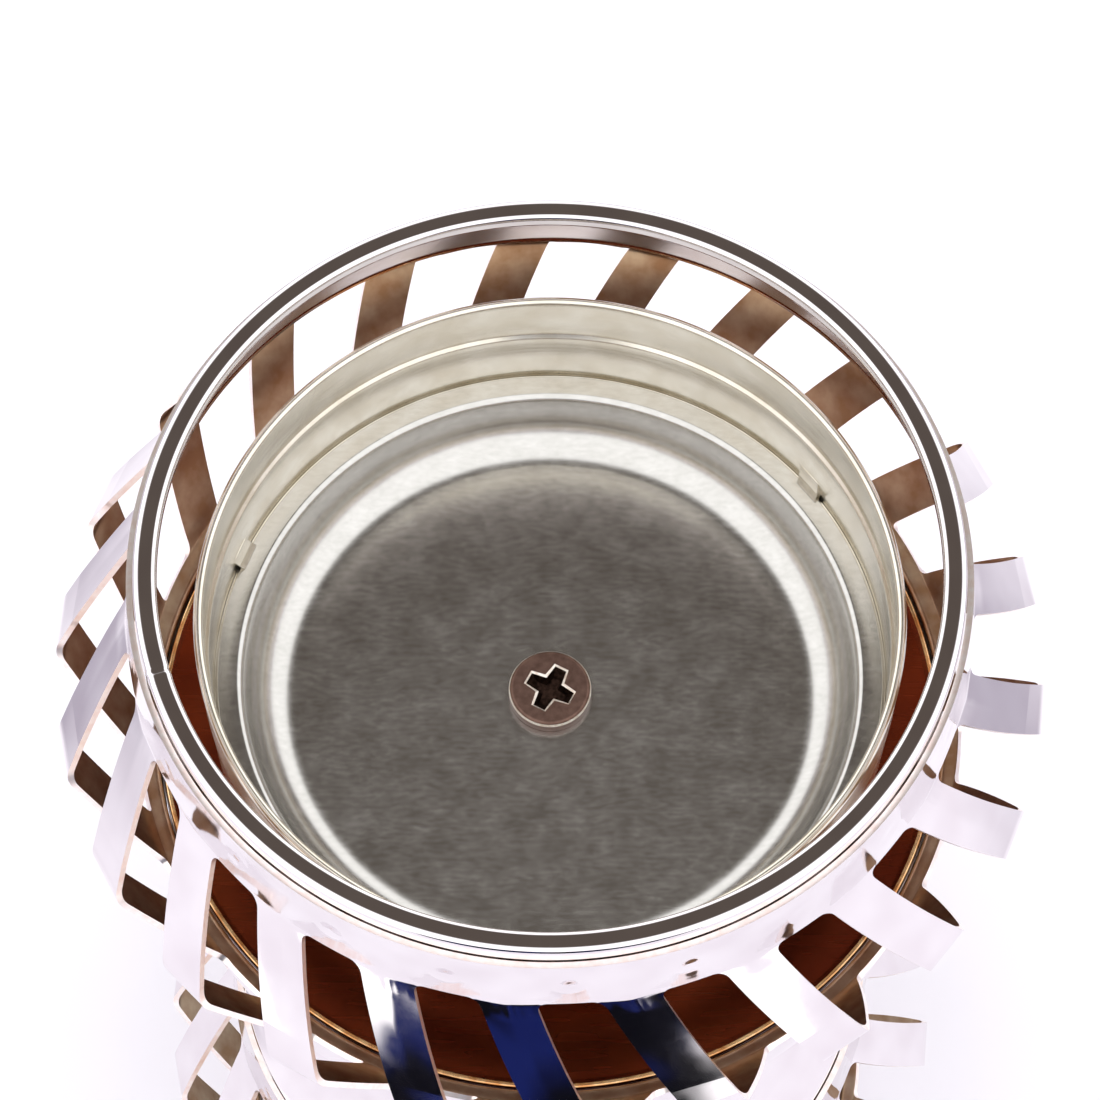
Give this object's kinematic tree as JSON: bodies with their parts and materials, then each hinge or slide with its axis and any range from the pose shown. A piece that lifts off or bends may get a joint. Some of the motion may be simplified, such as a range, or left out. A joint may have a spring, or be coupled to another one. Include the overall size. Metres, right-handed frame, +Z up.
{
  "type": "two-tier strip-cage burner stand",
  "caption": "Round tabletop burner or tealight stand: pressed and twisted strip cages, a spun neck and a screwed-down cup with a steel dish.",
  "frame": {"origin": "on the table, under the middle of the foot", "axes": "+Z up along the stand's axis; -Y is the front"},
  "size_m": [0.0948, 0.0948, 0.1403],
  "materials": {
    "rose_chrome": "bright plated, faint rose tint",
    "copper_disc": "satin copper-brown lacquer",
    "champagne_steel": "satin pale gold plating",
    "galvanised_steel": "fine spangled zinc",
    "bronzed_steel": "dark bronzed",
    "zinc_steel": "bright zinc plated"
  },
  "bodies": {
    "stand": {"upper_cage": "rose_chrome", "lower_cage": "rose_chrome", "rim_hoop": "rose_chrome", "foot_hoop": "rose_chrome", "neck": "rose_chrome", "support_disc": "copper_disc", "base_plate": "zinc_steel", "cup_collar": "champagne_steel", "dish": "galvanised_steel", "spacer": "zinc_steel", "disc_washer": "zinc_steel", "base_washer": "zinc_steel", "coupling_nut": "zinc_steel", "base_nut": "zinc_steel", "tie_rod": "zinc_steel"},
    "screw": {"centre_screw": "bronzed_steel"}
  },
  "joints": [
    {"name": "screw_turn", "type": "hinge", "parent": "stand", "child": "screw", "pos_m": [0, 0, 0.11065], "axis": [0, 0, 1], "continuous": true}
  ]
}
